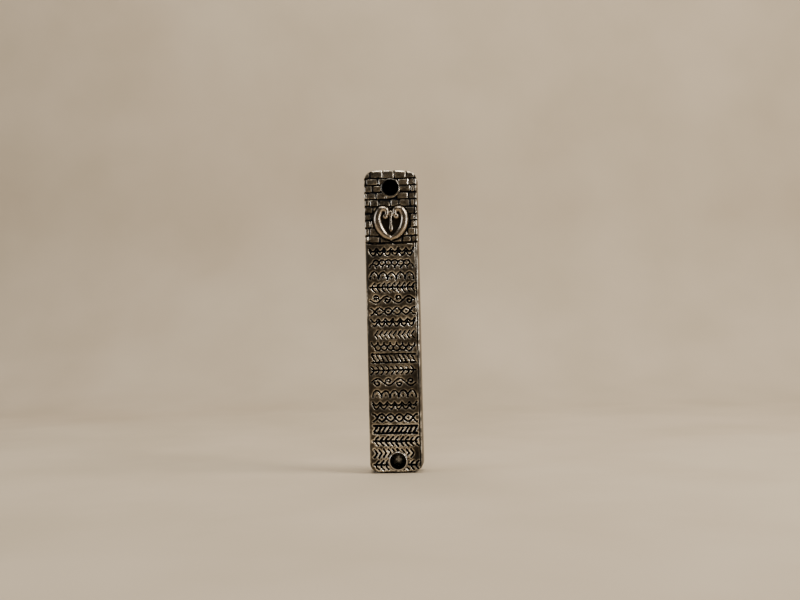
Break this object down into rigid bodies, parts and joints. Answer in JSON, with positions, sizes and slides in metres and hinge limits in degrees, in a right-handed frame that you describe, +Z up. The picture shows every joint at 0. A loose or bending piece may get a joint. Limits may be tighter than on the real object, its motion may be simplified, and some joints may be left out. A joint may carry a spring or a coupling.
{
  "type": "mezuzah case",
  "caption": "Cast metal mezuzah case, brick relief and applied scrollwork over a panel of sunk ornament, screws in eyeleted wells, scroll behind a back cover.",
  "frame": {"origin": "on the back plane that lies against the doorpost, halfway up and halfway across the casing", "axes": "+Z up along the casing's length, +Y into the doorpost, so the ornamented front faces -Y"},
  "size_m": [0.018, 0.0223, 0.1],
  "materials": {
    "cast_silver": "antique silver plate over cast zinc alloy, dark in the recesses and rubbed bright on the high spots",
    "polished_silver": "polished antique silver, dark in the hollows",
    "dark_silver": "oxidised inside, rubbed bright on the flange",
    "cover_sheet": "brushed sheet, dulled",
    "clear_film": "thin clear film",
    "parchment": "matte cream parchment",
    "black_steel": "black oxide, slightly glossy"
  },
  "bodies": {
    "casing": {"front_casing": "cast_silver", "emblem": "polished_silver", "top_eyelet": "dark_silver", "bottom_eyelet": "dark_silver", "top_screw": "black_steel", "bottom_screw": "black_steel"},
    "cover": {"back_cover": "cover_sheet"},
    "scroll_roll": {"scroll": "parchment", "scroll_sleeve": "clear_film"}
  },
  "joints": [
    {"name": "cover_lift", "type": "slide", "parent": "casing", "child": "cover", "axis": [0, 1, 0], "range_m": [0, 0.04]},
    {"name": "scroll_lift", "type": "slide", "parent": "casing", "child": "scroll_roll", "axis": [0, 1, 0], "range_m": [0, 0.02]}
  ],
  "couplings": [
    {"joint": "scroll_lift", "follows": "cover_lift", "ratio": 0.5}
  ]
}
